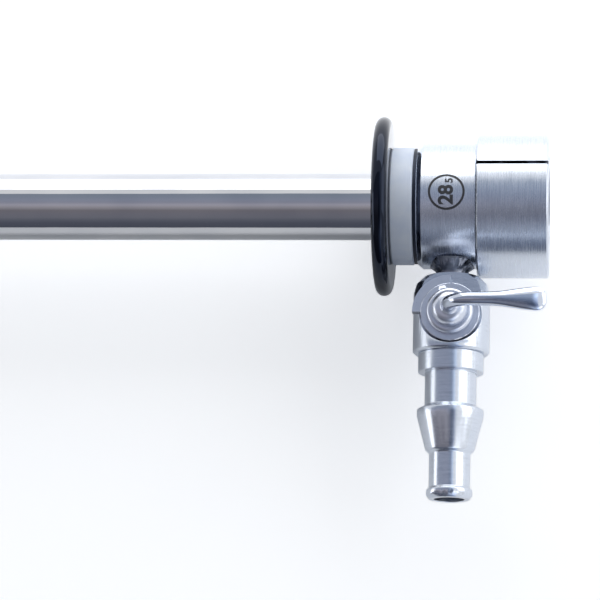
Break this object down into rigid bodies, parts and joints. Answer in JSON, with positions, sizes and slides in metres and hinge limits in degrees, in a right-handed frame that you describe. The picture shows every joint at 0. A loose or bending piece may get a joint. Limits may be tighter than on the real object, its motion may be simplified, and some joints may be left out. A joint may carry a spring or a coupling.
{
  "type": "resectoscope sheath",
  "caption": "Steel endoscope sheath: long tube with an oblique insulated tip, black guard disc, size ring, irrigation collar with stopcock and hose barb, and a latch drum.",
  "frame": {"origin": "on the tube's axis, in the plane of the drum's near face, where the working element's coupling face seats", "axes": "+X along the tube's axis towards the near end; the stopcock and hose barb point to -Y; +Z is the side of the size mark and the stopcock's lever"},
  "size_m": [0.213, 0.0541, 0.0267],
  "materials": {
    "polished_tube_steel": "polished along the tube",
    "polished_fitting_steel": "polished",
    "satin_steel": "fine satin, turned",
    "spring_steel": "bright rolled",
    "black_guard_plastic": "high gloss",
    "white_ring_plastic": "fine matt",
    "black_rubber": "smooth",
    "insulating_ceramic": "fine ground"
  },
  "bodies": {
    "sheath": {"sheath_tube": "polished_tube_steel", "insulating_beak": "insulating_ceramic", "hub_sleeve": "satin_steel", "guard_disc": "black_guard_plastic", "colour_ring": "white_ring_plastic", "seal_ring": "black_rubber", "irrigation_collar": "satin_steel", "lock_housing": "satin_steel", "stop_pins": "polished_fitting_steel", "button_springs": "spring_steel", "locating_pin": "polished_fitting_steel", "port_neck": "polished_fitting_steel", "stopcock_body": "polished_fitting_steel", "hose_barb": "polished_fitting_steel"},
    "stopcock_key": {"stopcock_plug": "polished_fitting_steel", "stopcock_lever": "polished_fitting_steel", "plug_washer": "spring_steel", "plug_spring": "spring_steel", "tension_nut": "polished_fitting_steel"},
    "latch": {"release_button": "satin_steel", "latch_plate": "spring_steel", "latch_screw": "polished_fitting_steel", "button_guide_pins": "polished_fitting_steel"}
  },
  "joints": [
    {"name": "stopcock_turn", "type": "hinge", "parent": "sheath", "child": "stopcock_key", "pos_m": [-0.0134, -0.01625, 0], "axis": [0, 0, -1], "range_deg": [0, 90]},
    {"name": "release_press", "type": "slide", "parent": "sheath", "child": "latch", "axis": [0, -1, 0], "range_m": [0, 0.00045], "stiffness_N_per_m": 300, "springref_m": -0.003, "deforming": ["button_springs"]}
  ]
}
